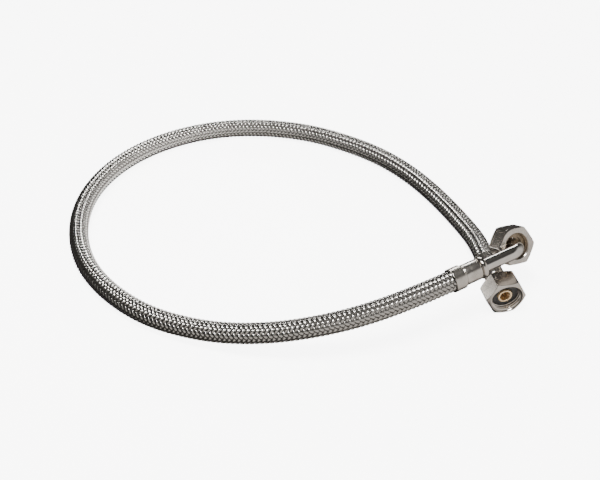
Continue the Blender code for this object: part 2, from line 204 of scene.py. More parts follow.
def woven_wire():
    """Bright stainless wire in flat bundles, wires side by side: painted shade at each bundle's sides and where
    it dives under the next, and a painted sheen down the middle of each wire.
    """
    sheet = Sheet("woven_wire")
    across, along = sheet.chart("weave")
    cycle = (across * WIRES).fraction()
    # Each wire's round: bump height, and in the colour a painted sheen that is lighter over the wire's middle.
    wire = 1.0 - abs(cycle * 2.0 - 1.0) ** 2.0
    # Painted shade: the bundle's colour falls towards near black at its sides and where it dives under the
    # crossing bundle.
    side = sheet.ease(abs(across - 0.5), 0.36, 0.5, 1.0, 0.0)
    painted_dive_shade = sheet.ease(abs(along - 1.0), 0.72, 1.0, 1.0, 0.0)
    unshaded_share = side * painted_dive_shade
    uneven = sheet.grain(420.0, 2.0)
    # Share of steel colour over the near-black painted shade, with the painted sheen per wire and random tone
    # from the grain.
    light = unshaded_share * (0.62 + 0.38 * wire) * (0.90 + 0.15 * uneven)
    steel = sheet.blend(uneven, tone(0.70, 0.685, 0.66), tone(0.56, 0.545, 0.52))
    sheet.put("Base Color", sheet.blend(light, tone(0.022, 0.020, 0.018), steel))
    sheet.put("Metallic", 1.0)
    sheet.put("Roughness", 0.17 + 0.10 * uneven + 0.25 * (1.0 - unshaded_share))
    sheet.relief(wire * 0.8 + uneven * 0.2, 0.00003, 0.8)
    return sheet.material


def nickel(name, rings, tint, bare=(), bare_share=0.8, rough_face=None):
    """Polished nickel plate with the lathe's fine rings and soft spots.

    Brass shows over each bare stretch of the profile, and a rough face is pitted and ringed more deeply.
    """
    sheet = Sheet(name)
    around, down = sheet.chart("turning")
    line = sheet.add("ShaderNodeCombineXYZ", {}, {0: around * 0.6, 1: down * rings})
    lathe = sheet.grain(1.0, 4.0, line, 0.65)
    cloud = sheet.grain(110.0, 3.0)
    speck = sheet.grain(900.0, 2.0)

    def between(low, high):
        return sheet.ease(down, low, low + 0.04) * sheet.ease(down, high, high + 0.04, 1.0, 0.0)

    colour = sheet.blend(sheet.ease(cloud, 0.35, 0.70), tone(*tint), tone(*(0.84 * c for c in tint)))
    metallic = 1.0
    for low, high in bare:
        share = between(low, high) * bare_share
        colour = sheet.blend(share, colour, tone(0.62, 0.44, 0.24))
        metallic = metallic - share * 0.3
    roughness = 0.08 + 0.13 * cloud + 0.06 * speck
    height = lathe * 0.75 + speck * 0.25
    if rough_face:
        face = between(*rough_face)
        pits = sheet.ease(sheet.grain(1500.0, 3.0), 0.52, 0.66)
        colour = sheet.blend(face * pits * 0.45, colour, tone(0.30, 0.275, 0.25))
        roughness = roughness + face * 0.10
        height = height + face * (lathe * 1.2 + pits * 0.8)
    sheet.put("Base Color", colour)
    sheet.put("Metallic", metallic)
    sheet.put("Roughness", roughness)
    sheet.relief(height, 0.00002, 0.8)
    return sheet.material


def drawn_stainless():
    """Thin drawn stainless: satin rings, faint lengthwise draw lines, smudges from the crimping jaws."""
    sheet = Sheet("drawn_stainless")
    around, down = sheet.chart("turning")
    rings = sheet.grain(1.0, 3.0, sheet.add("ShaderNodeCombineXYZ", {}, {0: around * 1.5, 1: down * 26.0}))
    draws = sheet.grain(1.0, 3.0, sheet.add("ShaderNodeCombineXYZ", {}, {0: around * 60.0, 1: down * 0.6}))
    cloud = sheet.grain(160.0, 3.0)
    colour = sheet.blend(sheet.ease(cloud, 0.30, 0.72), tone(0.72, 0.685, 0.64), tone(0.58, 0.545, 0.50))
    sheet.put("Base Color", colour)
    sheet.put("Metallic", 1.0)
    sheet.put("Roughness", 0.17 + 0.16 * cloud)
    sheet.relief(rings * 0.5 + draws * 0.5, 0.00003, 0.7)
    return sheet.material


def turned_brass():
    """Bare turned brass with fine rings and a dull patina in patches."""
    sheet = Sheet("turned_brass")
    around, down = sheet.chart("turning")
    rings = sheet.grain(1.0, 3.0, sheet.add("ShaderNodeCombineXYZ", {}, {0: around * 0.8, 1: down * 40.0}))
    patina = sheet.grain(260.0, 4.0)
    colour = sheet.blend(sheet.ease(patina, 0.35, 0.70), tone(0.30, 0.245, 0.18), tone(0.16, 0.13, 0.095))
    sheet.put("Base Color", colour)
    sheet.put("Metallic", 1.0)
    sheet.put("Roughness", 0.16 + 0.22 * patina)
    sheet.relief(rings, 0.00003, 0.7)
    return sheet.material


def fibre_rubber():
    """Dark fibre-filled washer rubber with pale flecks."""
    sheet = Sheet("fibre_rubber")
    fleck = sheet.grain(1500.0, 2.0)
    cloud = sheet.grain(300.0, 3.0)
    colour = sheet.blend(sheet.ease(fleck, 0.62, 0.74), tone(0.010, 0.009, 0.008), tone(0.045, 0.038, 0.031))
    sheet.put("Base Color", colour)
    sheet.put("Roughness", 0.55 + 0.25 * cloud)
    sheet.relief(fleck * 0.5 + cloud * 0.5, 0.00008, 0.8)
    return sheet.material


def extruded_rubber():
    """Matt black extruded rubber with faint lengthwise die lines."""
    sheet = Sheet("extruded_rubber")
    around, down = sheet.chart("turning")
    lines = sheet.grain(1.0, 2.0, sheet.add("ShaderNodeCombineXYZ", {}, {0: around * 80.0, 1: down * 0.1}))
    cloud = sheet.grain(200.0, 3.0)
    sheet.put("Base Color", sheet.blend(cloud, tone(0.020, 0.020, 0.021), tone(0.036, 0.035, 0.034)))
    sheet.put("Roughness", 0.58 + 0.20 * cloud)
    sheet.relief(lines, 0.00004, 0.6)
    return sheet.material


def studio_floor():
    """Plain white floor that glows, so that it stays near white and its shadows stay soft."""
    sheet = Sheet("studio_floor")
    sheet.put("Base Color", tone(0.92, 0.92, 0.92))
    sheet.put("Roughness", 0.9)
    sheet.put("Emission Color", tone(1.0, 1.0, 1.0))
    sheet.put("Emission Strength", 7.0)
    return sheet.material


WIRE = woven_wire()
NICKEL_NUT = nickel("nickel_nut", 22.0, (0.70, 0.66, 0.61), [(0.30, 1.05)], 0.12, (-0.02, 0.26))
NICKEL_TUBE = nickel("nickel_tube", 10.0, (0.74, 0.71, 0.67))
NICKEL_TAIL = nickel("nickel_tail", 30.0, (0.71, 0.67, 0.62))
STRAIGHT_METAL = nickel("straight_metal", 30.0, (0.71, 0.67, 0.62), [(-1.0, 0.62), (6.0, 20.0)], 0.9)
STAINLESS = drawn_stainless()
BRASS = turned_brass()
WASHER = fibre_rubber()
RUBBER = extruded_rubber()


def make_world():
    """A dim warm room for the metal to mirror: bright low in front, dark overhead and behind."""
    sheet = Sheet("studio_room", bpy.data.worlds.new("studio_room"), "Background")
    sky = sheet.add("ShaderNodeTexCoord", {}, {}, "Generated")
    height = sheet.add("ShaderNodeSeparateXYZ", {}, {0: sky}, "Z")

    def facing(direction):
        terms = {0: sky, 1: tuple(float(c) for c in unit(direction))}
        return sheet.add("ShaderNodeVectorMath", {"operation": "DOT_PRODUCT"}, terms, "Value")

    front = sheet.ease(facing((0.6, -0.8, 0.0)), -0.10, 0.55)
    front = front * sheet.ease(height, 0.52, 0.74, 1.0, 0.0) * sheet.ease(height, -0.93, -0.60)
    colour = sheet.blend(height * 0.5 + 0.5, tone(1.0, 0.93, 0.86), tone(1.0, 0.98, 0.95))
    sheet.put("Color", colour)
    sheet.put("Strength", 0.05 + front * 0.85)
    bpy.context.scene.world = sheet.material


make_world()


# ============================================================================================================
# surfaces
# ============================================================================================================

def add_surface(name, points, faces, material, charts, body, nodes, sharp=None):
    """A piece from points, four-cornered faces and its maps, given for each face corner."""
    mesh = bpy.data.meshes.new(name)
    mesh.vertices.add(len(points))
    mesh.vertices.foreach_set("co", np.ascontiguousarray(points, np.float32).ravel())
    mesh.loops.add(faces.size)
    mesh.loops.foreach_set("vertex_index", np.ascontiguousarray(faces, np.int32).ravel())
    mesh.polygons.add(len(faces))
    mesh.polygons.foreach_set("loop_start", np.arange(0, faces.size, 4, dtype=np.int32))
    mesh.polygons.foreach_set("use_smooth", np.ones(len(faces), bool))
    mesh.update(calc_edges=True)
    for chart, corners in charts.items():
        layer = mesh.uv_layers.new(name=chart)
        layer.data.foreach_set("uv", np.ascontiguousarray(corners, np.float32).ravel())
    if sharp is not None:
        mesh.set_sharp_from_angle(angle=math.radians(sharp))
    mesh.materials.append(material)
    piece = bpy.data.objects.new(name, mesh)
    bpy.context.scene.collection.objects.link(piece)
    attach(piece, body)
    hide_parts(*nodes)
    return piece


def ring_faces(rows, columns):
    """Faces of a grid whose columns run round and whose rows close on themselves."""
    row = np.arange(rows)[:, None]
    column = np.arange(columns)[None, :]
    below = (row + 1) % rows
    beside = (column + 1) % columns
    corners = [(row, column), (below, column), (below, beside), (row, beside)]
    places = [np.broadcast_to(r * columns + c, (rows, columns)) for r, c in corners]
    return np.stack(places, axis=-1).reshape(-1, 4)


def ring_chart(travel, columns):
    """Map of such a grid: the share of a turn across, and the distance down the rows in centimetres."""
    rows = len(travel)
    ends = np.append(travel, travel[-1] + (travel[-1] - travel[-2]))
    high, low = ends[:-1, None], ends[1:, None]
    left = np.arange(columns)[None, :] / columns
    right = left + 1.0 / columns
    shape = (rows, columns)
    corners = [(left, high), (left, low), (right, low), (right, high)]
    pairs = [np.stack([np.broadcast_to(u, shape), np.broadcast_to(v, shape)], axis=-1) for u, v in corners]
    return np.stack(pairs, axis=2).reshape(-1, 2)


def turned_over(faces, chart):
    """The same faces and their map with the corners taken the other way round, so they face the other way."""
    return faces[:, ::-1], chart.reshape(-1, 4, 2)[:, ::-1].reshape(-1, 2)


def centimetres(steps):
    """Distance run at each point of a line, from the metres between its points."""
    return np.concatenate([[0.0], np.cumsum(steps)]) * 100.0


class Axis:
    """A fitting's own frame: Z points out of its mouth and X stays level before the turn."""

    def __init__(self, origin, outward, turn=0.0):
        z = unit(outward)
        x = unit(np.cross(z, (0.0, 0.0, 1.0)))
        y = np.cross(z, x)
        turn = math.radians(turn)
        self.origin = np.asarray(origin, float)
        self.x = x * math.cos(turn) + y * math.sin(turn)
        self.y = y * math.cos(turn) - x * math.sin(turn)
        self.z = z

    def lay(self, radius, height, angle):
        """Points at a radius and height about the axis: origin + r cos a X + r sin a Y + h Z."""
        radius, height = radius[..., None], height[..., None]
        cos, sin = np.cos(angle)[..., None], np.sin(angle)[..., None]
        return self.origin + radius * cos * self.x + radius * sin * self.y + height * self.z


def softened(section, softness, cuts=3):
    """A closed section with each corner swapped for a parabola of that reach, or less on a short side."""
    section = np.asarray(section, float)
    before = np.roll(section, 1, axis=0) - section
    after = np.roll(section, -1, axis=0) - section
    reach_back = np.minimum(softness, 0.42 * np.linalg.norm(before, axis=1))[:, None]
    reach_on = np.minimum(softness, 0.42 * np.linalg.norm(after, axis=1))[:, None]
    start = section + unit(before) * reach_back
    end = section + unit(after) * reach_on
    at = np.linspace(0.0, 1.0, cuts + 1)[None, :, None]
    curve = start[:, None] * (1 - at) ** 2 + 2 * section[:, None] * at * (1 - at) + end[:, None] * at ** 2
    return curve.reshape(-1, 2)


def turned(name, axis, section, softness, material, body):
    """A piece turned about an axis from a closed section (radius, height): outer side down, inner side up."""
    columns = 96
    line = softened(section, softness)
    angle = np.linspace(0.0, math.tau, columns, endpoint=False)[None, :]
    shape = (len(line), columns)
    radius = np.broadcast_to(line[:, :1], shape)
    height = np.broadcast_to(line[:, 1:], shape)
    points = axis.lay(radius, height, np.broadcast_to(angle, shape)).reshape(-1, 3)
    steps = np.linalg.norm(np.diff(line, axis=0), axis=1)
    charts = {"turning": ring_chart(centimetres(steps), columns)}
    return add_surface(name, points, ring_faces(*shape), material, charts, body, [name], 40.0)


# ============================================================================================================
# sizes and the two connectors' axes
# ============================================================================================================

HOSE_OD = 14.0 * MM
STRAIGHT_NECK = 1.5 * MM
NUT_LENGTH = 14.5 * MM
STRAIGHT_BEAD = -(NUT_LENGTH + STRAIGHT_NECK)
STRAIGHT_MOUTH = np.array((7.3, -19.6, 12.0)) * MM
ELBOW_CORNER = np.array((22.4, -0.6, 37.6)) * MM
ELBOW_REACH = 22.0 * MM
ELBOW_LEG = 31.8 * MM
BEND_RADIUS = 11.0 * MM
ELBOW_YAW = 16.3              # degrees, as the three below it are
ELBOW_RISE = 5.5
ELBOW_DROOP = 28.6
ELBOW_NUT_TURN = 5.0


def heading(yaw, rise=0.0):
    """Unit vector at a heading about Z and an angle above the horizontal, in degrees."""
    yaw, rise = math.radians(yaw), math.radians(rise)
    return np.array((math.cos(yaw) * math.cos(rise), math.sin(yaw) * math.cos(rise), math.sin(rise)))


STRAIGHT_OUT = np.array((0.0, -1.0, 0.0))
LEG_OUT = heading(ELBOW_YAW, ELBOW_RISE)
LEG_LEFT = heading(ELBOW_YAW + 90.0)
LEG_UP = np.cross(LEG_OUT, LEG_LEFT)
DROOP = math.radians(ELBOW_DROOP)
ELBOW_OUT = LEG_LEFT * math.cos(DROOP) - LEG_UP * math.sin(DROOP)
ELBOW_MOUTH = ELBOW_CORNER + ELBOW_OUT * ELBOW_REACH
ELBOW_BEAD = ELBOW_CORNER - LEG_OUT * ELBOW_LEG
STRAIGHT_BEAD_POINT = STRAIGHT_MOUTH + STRAIGHT_OUT * STRAIGHT_BEAD

straight_axis = Axis(STRAIGHT_MOUTH, STRAIGHT_OUT)
straight_crimp = Axis(STRAIGHT_BEAD_POINT, STRAIGHT_OUT)
elbow_axis = Axis(ELBOW_MOUTH, ELBOW_OUT, ELBOW_NUT_TURN)
elbow_crimp = Axis(ELBOW_BEAD, LEG_OUT)

# Distances behind the bead's front, and depths behind the mouth.
BEAD_LENGTH = 4.2 * MM
FERRULE_FRONT = 4.5 * MM
HOSE_START = 5.4 * MM
CRIMP_END = 16.8 * MM
HOSE_FREE = 19.8 * MM         # from here on the hose may leave the ferrule's axis
FERRULE_END = 25.0 * MM
SLIP_RING_BACK = 10.2 * MM
SLIP_RING_FRONT = 9.4 * MM
FLANGE_BACK = 9.1 * MM
FLANGE_FRONT = 7.1 * MM
WASHER_BACK = 6.8 * MM
WASHER_FRONT = 4.8 * MM
NOSE_FRONT = 3.2 * MM
DISC_RADIUS = 9.065 * MM
BARB_LENGTH = 18.0 * MM
SLIP_RING_BORE = 6.0 * MM     # a radius, as the three below it are
BARB_BORE = 3.1 * MM
TUBE_BORE = 3.6 * MM
TUBE_RADIUS = 4.5 * MM

ROUTE_MM = [
    (7.8, 34.1, 11.5), (8.0, 47.1, 10.0), (6.4, 64.1, 8.2), (1.8, 88.1, 7.1), (-5.6, 113.1, 7.0),
    (-16.6, 139.1, 7.0), (-32.6, 164.1, 7.0), (-51.5, 184.1, 7.0), (-74.5, 202.1, 7.0), (-99.0, 214.3, 7.0),
    (-125.0, 221.6, 7.0), (-152.5, 223.4, 7.0), (-178.0, 219.4, 7.0), (-203.0, 209.7, 7.0),
    (-229.0, 191.1, 7.0), (-252.4, 158.7, 7.0), (-263.4, 115.1, 7.0), (-258.0, 71.5, 7.0),
    (-241.0, 38.6, 7.0), (-220.5, 15.7, 7.2), (-201.5, 1.4, 8.4), (-184.9, -8.7, 10.4),
    (-169.4, -16.2, 12.9), (-156.2, -21.3, 15.4), (-143.1, -25.3, 18.0), (-129.9, -28.2, 20.7),
    (-116.2, -30.0, 23.2), (-100.4, -30.7, 25.9), (-81.0, -29.3, 28.7), (-56.6, -23.9, 30.7),
]


# ============================================================================================================
# the hose
# ============================================================================================================

def smooth_curve(knots, spacing):
    """Points at a given spacing on the natural cubic spline through the knots, by chord length."""
    knots = np.asarray(knots, float)
    lengths = np.linalg.norm(np.diff(knots, axis=0), axis=1)
    at = np.concatenate([[0.0], np.cumsum(lengths)])
    count = len(knots)
    inside = np.arange(1, count - 1)
    system = np.eye(count)
    system[inside, inside - 1] = lengths[:-1]
    system[inside, inside] = 2.0 * (lengths[:-1] + lengths[1:])
    system[inside, inside + 1] = lengths[1:]
    slopes = np.diff(knots, axis=0) / lengths[:, None]
    target = np.zeros_like(knots)
    target[inside] = 6.0 * np.diff(slopes, axis=0)
    bending = np.linalg.solve(system, target)
    samples = np.linspace(0.0, at[-1], int(round(at[-1] / spacing)) + 1)
    span = np.clip(np.searchsorted(at, samples, side="right") - 1, 0, count - 2)
    width = lengths[span][:, None]
    before = (samples - at[span])[:, None]
    after = width - before
    low, high = bending[span], bending[span + 1]
    return (
        (low * after**3 + high * before**3) / (6.0 * width)
        + (knots[span] / width - low * width / 6.0) * after
        + (knots[span + 1] / width - high * width / 6.0) * before
    )


class Line:
    """A centreline, read by distance: its place, and two directions square to it, one of them upward."""

    def __init__(self, points):
        steps = np.linalg.norm(np.diff(points, axis=0), axis=1)
        self.points = points
        self.at = np.concatenate([[0.0], np.cumsum(steps)])
        self.length = float(self.at[-1])
        self.run = unit(np.gradient(points, self.at, axis=0))
        rise = np.array((0.0, 0.0, 1.0))
        self.up = unit(rise - (self.run @ rise)[:, None] * self.run)

    def lay(self, distance, radius, angle):
        """Points at a radius and angle about the line: C(s) + r cos a U(s) + r sin a (T x U)(s)."""
        def read(table):
            return np.stack([np.interp(distance, self.at, table[:, axis]) for axis in range(3)], axis=-1)

        run, up = unit(read(self.run)), read(self.up)
        up = unit(up - np.sum(up * run, axis=-1, keepdims=True) * run)
        side = np.cross(run, up)
        radius = np.asarray(radius)[..., None]
        outward = np.cos(angle)[..., None] * up + np.sin(angle)[..., None] * side
        return read(self.points) + radius * outward


def hose_line():
    """The hose's centreline between its two cut ends, with a point every half millimetre."""
    depths = (HOSE_START, HOSE_FREE, FERRULE_END)
    near = [STRAIGHT_BEAD_POINT - STRAIGHT_OUT * depth for depth in depths]
    far = [ELBOW_BEAD - LEG_OUT * depth for depth in reversed(depths)]
    free = smooth_curve([near[1], near[2], *np.array(ROUTE_MM) * MM, far[0], far[1]], 0.5 * MM)
    share = np.linspace(0.0, 1.0, 29)[:-1, None]
    first = near[0] * (1 - share) + near[1] * share
    last = (far[1] * (1 - share) + far[2] * share)[1:]
    return Line(np.concatenate([first, free, last, far[2][None]]))


HOSE = hose_line()
CRIMPED = CRIMP_END - HOSE_START


def squeeze(distance, free, crimped):
    """A radius that is crimped inside the ferrules and eases to its free size in their collars."""
    inward = np.minimum(distance, HOSE.length - distance)
    step = np.clip((inward - CRIMPED - 0.4 * MM) / (3.0 * MM), 0.0, 1.0)
    step = step * step * (3.0 - 2.0 * step)
    return crimped + (free - crimped) * step


CARRIERS = 12                 # wire bundles wound each way
# Along the hose, between two bundles of one direction: about 3.1 mm, a whole number of times in its length.
REPEAT = HOSE.length / round(HOSE.length / (3.1 * MM))
STOPS = np.array((0.0, 0.11, 0.34, 0.66, 0.89))    # where a crossing is cut, across and along a bundle
CUTS = len(STOPS)
BRAID_DEPTH = 0.70 * MM


def crown(place):
    """Height of a bundle over its width, 0 at both sides and 1 over the middle."""
    return np.clip(1.0 - np.abs(2.0 * place - 1.0) ** 2.4, 0.0, 1.0)


def arch(place):
    """Height of a bundle over the two crossings it covers, 0 where it dives and 1 over the middle."""
    return np.clip(1.0 - np.abs(place - 1.0) ** 2.4, 0.0, 1.0)


def braid_lattice():
    """Points and faces of the whole weave on the diagonal lattice of its bundles.

    A counts the bundles of one hand and B those of the other: A + B grows with the distance along the hose
    and A - B with the angle round it.  Each crossing is a unit square in (A, B), cut at STOPS both ways.
    Whichever bundle lies on top there gives its height: two crossings over, then two under.
    """
    ring = CARRIERS * CUTS
    rows = int(round(2 * HOSE.length / REPEAT)) * CUTS
    row, place = np.meshgrid(np.arange(rows + 1), np.arange(ring), indexing="ij")
    twist = 2 * place + (row & 1)
    count_a = (row + twist) // 2
    count_b = (row - twist) // 2

    def reading(count):
        cell = np.floor_divide(count, CUTS)
        return cell, STOPS[count - cell * CUTS]

    cell_a, part_a = reading(count_a)
    cell_b, part_b = reading(count_b)
    angle = (cell_a + part_a - cell_b - part_b) * math.pi / CARRIERS
    distance = np.clip((cell_a + part_a + cell_b + part_b) * REPEAT / 2, 0.0, HOSE.length)
    phase = np.mod(cell_a - cell_b, 4)
    right_on_top = phase < 2
    width = np.where(right_on_top, part_b, part_a)
    travel = np.where(right_on_top, phase + part_a, 3 - phase + part_b)
    height = crown(width) * arch(travel)
    radius = squeeze(distance, HOSE_OD / 2, 5.98 * MM) - BRAID_DEPTH * (1.0 - height)
    points = HOSE.lay(distance, radius, angle).reshape(-1, 3)

    row, place = np.meshgrid(np.arange(rows - 1), np.arange(ring), indexing="ij")
    odd = row & 1
    right = (place + odd) % ring
    left = (place + odd - 1) % ring
    faces = np.stack([row * ring + place, (row + 1) * ring + right, (row + 2) * ring + place,
                      (row + 1) * ring + left], axis=-1)

    # Each face's own crossing, the bundle on top of it, and its corners there.
    twist = 2 * place + odd
    count_a, count_b = (row + twist) // 2, (row - twist) // 2
    cell_a, cell_b = np.floor_divide(count_a, CUTS), np.floor_divide(count_b, CUTS)
    ends = np.append(STOPS, 1.0)
    step_a, step_b = count_a - cell_a * CUTS, count_b - cell_b * CUTS
    low_a, high_a, low_b, high_b = ends[step_a], ends[step_a + 1], ends[step_b], ends[step_b + 1]
    phase = np.mod(cell_a - cell_b, 4)
    corner_a = np.stack([low_a, high_a, high_a, low_a], axis=-1)
    corner_b = np.stack([low_b, low_b, high_b, high_b], axis=-1)
    top = (phase < 2)[..., None]
    across = np.where(top, corner_b, corner_a)
    along = np.where(top, phase[..., None] + corner_a, 3 - phase[..., None] + corner_b)
    weave = np.stack([across, along], axis=-1)
    turn = (cell_a - cell_b)[..., None] + corner_a - corner_b
    reach = (cell_a + cell_b)[..., None] + corner_a + corner_b
    return points, faces, weave, turn / (2 * CARRIERS), reach / 2 * REPEAT


def braid_sheet_chart(turn, reach, lanes=3):
    """A flat layout of a stretch of braid: its length cut into lanes laid side by side, without overlap."""
    turn = turn - np.floor(turn[..., :1])
    start, end = reach.min(), reach.max()
    share = (reach - start) / (end - start)
    lane = np.clip(np.floor(share[..., :1] * lanes), 0, lanes - 1)
    across = (lane + 0.06 + 0.80 * turn) / lanes
    along = 0.015 + 0.950 * (share * lanes - lane)
    return np.stack([across, along], axis=-1)


def make_braid():
    """The weave as two pieces that share their joint's points in place, halfway along the hose."""
    points, faces, weave, turn, reach = braid_lattice()
    half = (len(faces) // 2) // 2 * 2
    made = []
    for name, part in (("braid_near", slice(0, half)), ("braid_far", slice(half, None))):
        own, inverse = np.unique(faces[part].reshape(-1, 4), return_inverse=True)
        charts = {
            "OFBake": braid_sheet_chart(turn[part], reach[part]).reshape(-1, 2),
            "weave": weave[part].reshape(-1, 2),
        }
        corners = inverse.reshape(-1, 4)
        made.append(add_surface(name, points[own], corners, WIRE, charts, "hose_line",
                                ["braid_sleeve"]))
    return made


def make_liner():
    """The rubber hose under the braid: outer wall out, cut end, inner wall back and the other cut end."""
    columns = 40
    out = np.arange(0.0, HOSE.length, 2.0 * MM)
    out = np.append(out, HOSE.length)
    distance = np.concatenate([out, out[::-1]])
    radius = np.concatenate([squeeze(out, 5.95 * MM, 5.1 * MM), squeeze(out[::-1], 4.5 * MM, 4.75 * MM)])
    angle = np.linspace(0.0, math.tau, columns, endpoint=False)
    shape = (len(distance), columns)
    points = HOSE.lay(np.broadcast_to(distance[:, None], shape), np.broadcast_to(radius[:, None], shape),
                      np.broadcast_to(angle[None, :], shape)).reshape(-1, 3)
    faces, chart = turned_over(ring_faces(*shape), ring_chart(distance * 100.0, columns))
    return add_surface("hose_liner", points, faces, RUBBER, {"turning": chart}, "hose_line",
                       ["inner_hose"])


braids = make_braid()
liner = make_liner()
route = HOSE.lay(np.linspace(0.0, HOSE.length, 161), np.zeros(161), np.zeros(161))


# ============================================================================================================
# crimped ends
# ============================================================================================================

def bead_line(front):
    """Outer side of the round shoulder in front of a ferrule, down from its front face."""
    radius, edge, length = 7.5, 1.95, BEAD_LENGTH / MM
    turn = np.radians(np.linspace(0.0, 90.0, 6))
    top = [(radius - edge + edge * math.sin(a), front - edge + edge * math.cos(a)) for a in turn]
    low = [(radius - edge + edge * math.cos(a), front - length + edge - edge * math.sin(a)) for a in turn]
    return top + low


def barb_line(start):
    """Outer side of the barbed tail: five ridges that fall towards its tip."""
    ridges = []
    for ridge in range(5):
        top = start - ridge * 3.6
        ridges += [(3.9, top), (4.3, top - 1.26), (4.3, top - 1.62)]
    return ridges + [(3.9, start - BARB_LENGTH / MM)]


def make_ferrule(name, axis):
    """Thin sleeve: an inturned lip, a squeezed body, a turned groove and a wider collar with a rolled rim."""
    front, crimp_end, end = -FERRULE_FRONT / MM, -CRIMP_END / MM, -FERRULE_END / MM
    radius, collar = 6.85, 7.85
    section = [
        (4.5, front), (radius - 0.75, front), (radius - 0.2, front - 0.25), (radius, front - 0.8),
        (radius, -10.6), (radius - 0.05, -12.0), (radius, -13.4),
        (radius, crimp_end + 1.0), (radius - 0.40, crimp_end + 0.65), (radius - 0.40, crimp_end + 0.25),
        (radius + 0.15, crimp_end), (collar - 0.35, crimp_end), (collar, crimp_end - 0.45),
        (collar, end + 0.7), (collar + 0.08, end + 0.35), (collar, end), (collar - 0.5, end),
        (collar - 0.5, crimp_end - 0.5), (radius - 0.62, crimp_end - 0.5), (radius - 0.62, front - 0.6),
        (4.5, front - 0.6),
    ]
    return turned(name, axis, np.array(section) * MM, 0.22 * MM, STAINLESS, "hose_line")


def make_straight_tail():
    """One turned piece: nose, flange, neck, shoulder and barbs, bored right through."""
    bead = STRAIGHT_BEAD / MM
    barb = bead - BEAD_LENGTH / MM
    neck, disc, bore, barb_bore = 4.75, DISC_RADIUS / MM, TUBE_BORE / MM, BARB_BORE / MM
    nose, flange_front, flange_back = -NOSE_FRONT / MM, -FLANGE_FRONT / MM, -FLANGE_BACK / MM
    section = [
        (bore + 0.15, nose), (neck - 0.2, nose), (neck, nose - 0.25), (neck, flange_front),
        (disc, flange_front), (disc, flange_back), (neck, flange_back), (neck, bead),
        *bead_line(bead), *barb_line(barb),
        (barb_bore, barb - BARB_LENGTH / MM), (barb_bore, barb), (bore, barb + 1.0), (bore, nose - 0.2),
    ]
    return turned("straight_tail", straight_axis, np.array(section) * MM, 0.18 * MM, STRAIGHT_METAL,
                  "hose_line")


def make_elbow_tail():
    """The elbow's shoulder and barbs, with a countersunk socket for the bent tube."""
    barb = -BEAD_LENGTH / MM
    socket, floor, bore, barb_bore = 4.8, -2.7, TUBE_BORE / MM, BARB_BORE / MM
    section = [
        (socket, -0.15), (socket + 0.2, 0.0), *bead_line(0.0), *barb_line(barb),
        (barb_bore, barb - BARB_LENGTH / MM), (barb_bore, barb),
        (bore, floor - 0.6), (bore, floor), (socket, floor),
    ]
    return turned("elbow_tail", elbow_crimp, np.array(section) * MM, 0.15 * MM, NICKEL_TAIL, "hose_line")


def make_ring(name, axis, bore, front, back, material, body):
    """A flat ring between two depths behind a mouth."""
    section = [(DISC_RADIUS, -front), (DISC_RADIUS, -back), (bore, -back), (bore, -front)]
    return turned(name, axis, section, 0.2 * MM, material, body)


def make_elbow_tube():
    """Bent tube carried along its line, long leg, bend and short leg: outer wall out, inner wall back."""
    start = ELBOW_CORNER - LEG_OUT * (ELBOW_LEG + 2.4 * MM)
    centre = ELBOW_CORNER + (ELBOW_OUT - LEG_OUT) * BEND_RADIUS
    bend = np.radians(np.linspace(0.0, 90.0, 28))[:, None]
    arc = centre + (LEG_OUT * np.sin(bend) - ELBOW_OUT * np.cos(bend)) * BEND_RADIUS
    leg = start + (arc[0] - start) * np.linspace(0.0, 1.0, 24)[:-1, None]
    nose = ELBOW_MOUTH - ELBOW_OUT * NOSE_FRONT
    tip = arc[-1] + (nose - arc[-1]) * np.linspace(0.0, 1.0, 12)[1:, None]
    line = np.concatenate([leg, arc, tip])
    run = unit(np.gradient(line, axis=0))
    square = unit(np.cross(LEG_OUT, ELBOW_OUT))[None, :]
    side = np.cross(run, square)
    last = len(line) - 1
    bend_share = np.clip((np.arange(len(line)) - len(leg)) / 28.0, 0.0, 1.0)
    swell = 1.0 - 0.018 * np.sin(math.pi * bend_share) ** 2
    order = np.concatenate([[0], np.arange(len(line)), [last, last], np.arange(len(line))[::-1], [0]])
    radius = np.full(len(order), TUBE_RADIUS)
    radius[0] = TUBE_RADIUS - 0.2 * MM
    radius[last + 1] = TUBE_RADIUS - 0.15 * MM
    radius[last + 2:] = TUBE_BORE
    radius[last + 2] = TUBE_BORE + 0.15 * MM
    columns = 64
    angle = np.linspace(0.0, math.tau, columns, endpoint=False)[None, :, None]
    reach = (radius * swell[order])[:, None, None]
    outward = np.cos(angle) * square[:, None] + np.sin(angle) * side[order][:, None]
    points = line[order][:, None] + reach * outward
    steps = np.linalg.norm(np.diff(line[order], axis=0), axis=1) + np.abs(np.diff(radius))
    faces, chart = turned_over(ring_faces(len(order), columns), ring_chart(centimetres(steps), columns))
    return add_surface("elbow_tube", points.reshape(-1, 3), faces, NICKEL_TUBE, {"turning": chart},
                       "hose_line", ["elbow_tube"], 45.0)


# ============================================================================================================
# swivel nuts
# ============================================================================================================

# Where one sixth of the hexagon is cut, in degrees from a corner: closest at the corners.
SECTOR = np.array((
    0.0, 0.5, 1.2, 2.5, 5.0, 9.0, 14.0, 19.0, 24.5, 30.0, 35.5, 41.0, 46.0, 51.0, 55.0, 57.5, 58.8, 59.5,
))
APOTHEM = 12.0 * MM
CORNER = 13.72 * MM
CORNER_SOFTNESS = 0.03 * MM
FACE_RADIUS = 11.0 * MM
REAR_FACE_RADIUS = 12.3 * MM
THREAD_CREST = 9.315 * MM
THREAD_ROOT = 10.35 * MM
THREAD_PITCH = 1.814 * MM
# The rear hole and the socket's floor, as (radius, depth behind the mouth).
REAR_HOLE_MM = (
    (9.15, 14.49), (9.02, 14.42), (8.62, 13.98), (8.53, 13.85), (8.50, 13.6), (8.50, 12.0), (8.50, 10.75),
    (8.56, 10.56), (8.75, 10.5), (9.6, 10.5), (9.9, 10.42), (10.0, 10.25),
)
SLOPE = math.tan(math.radians(30.0))


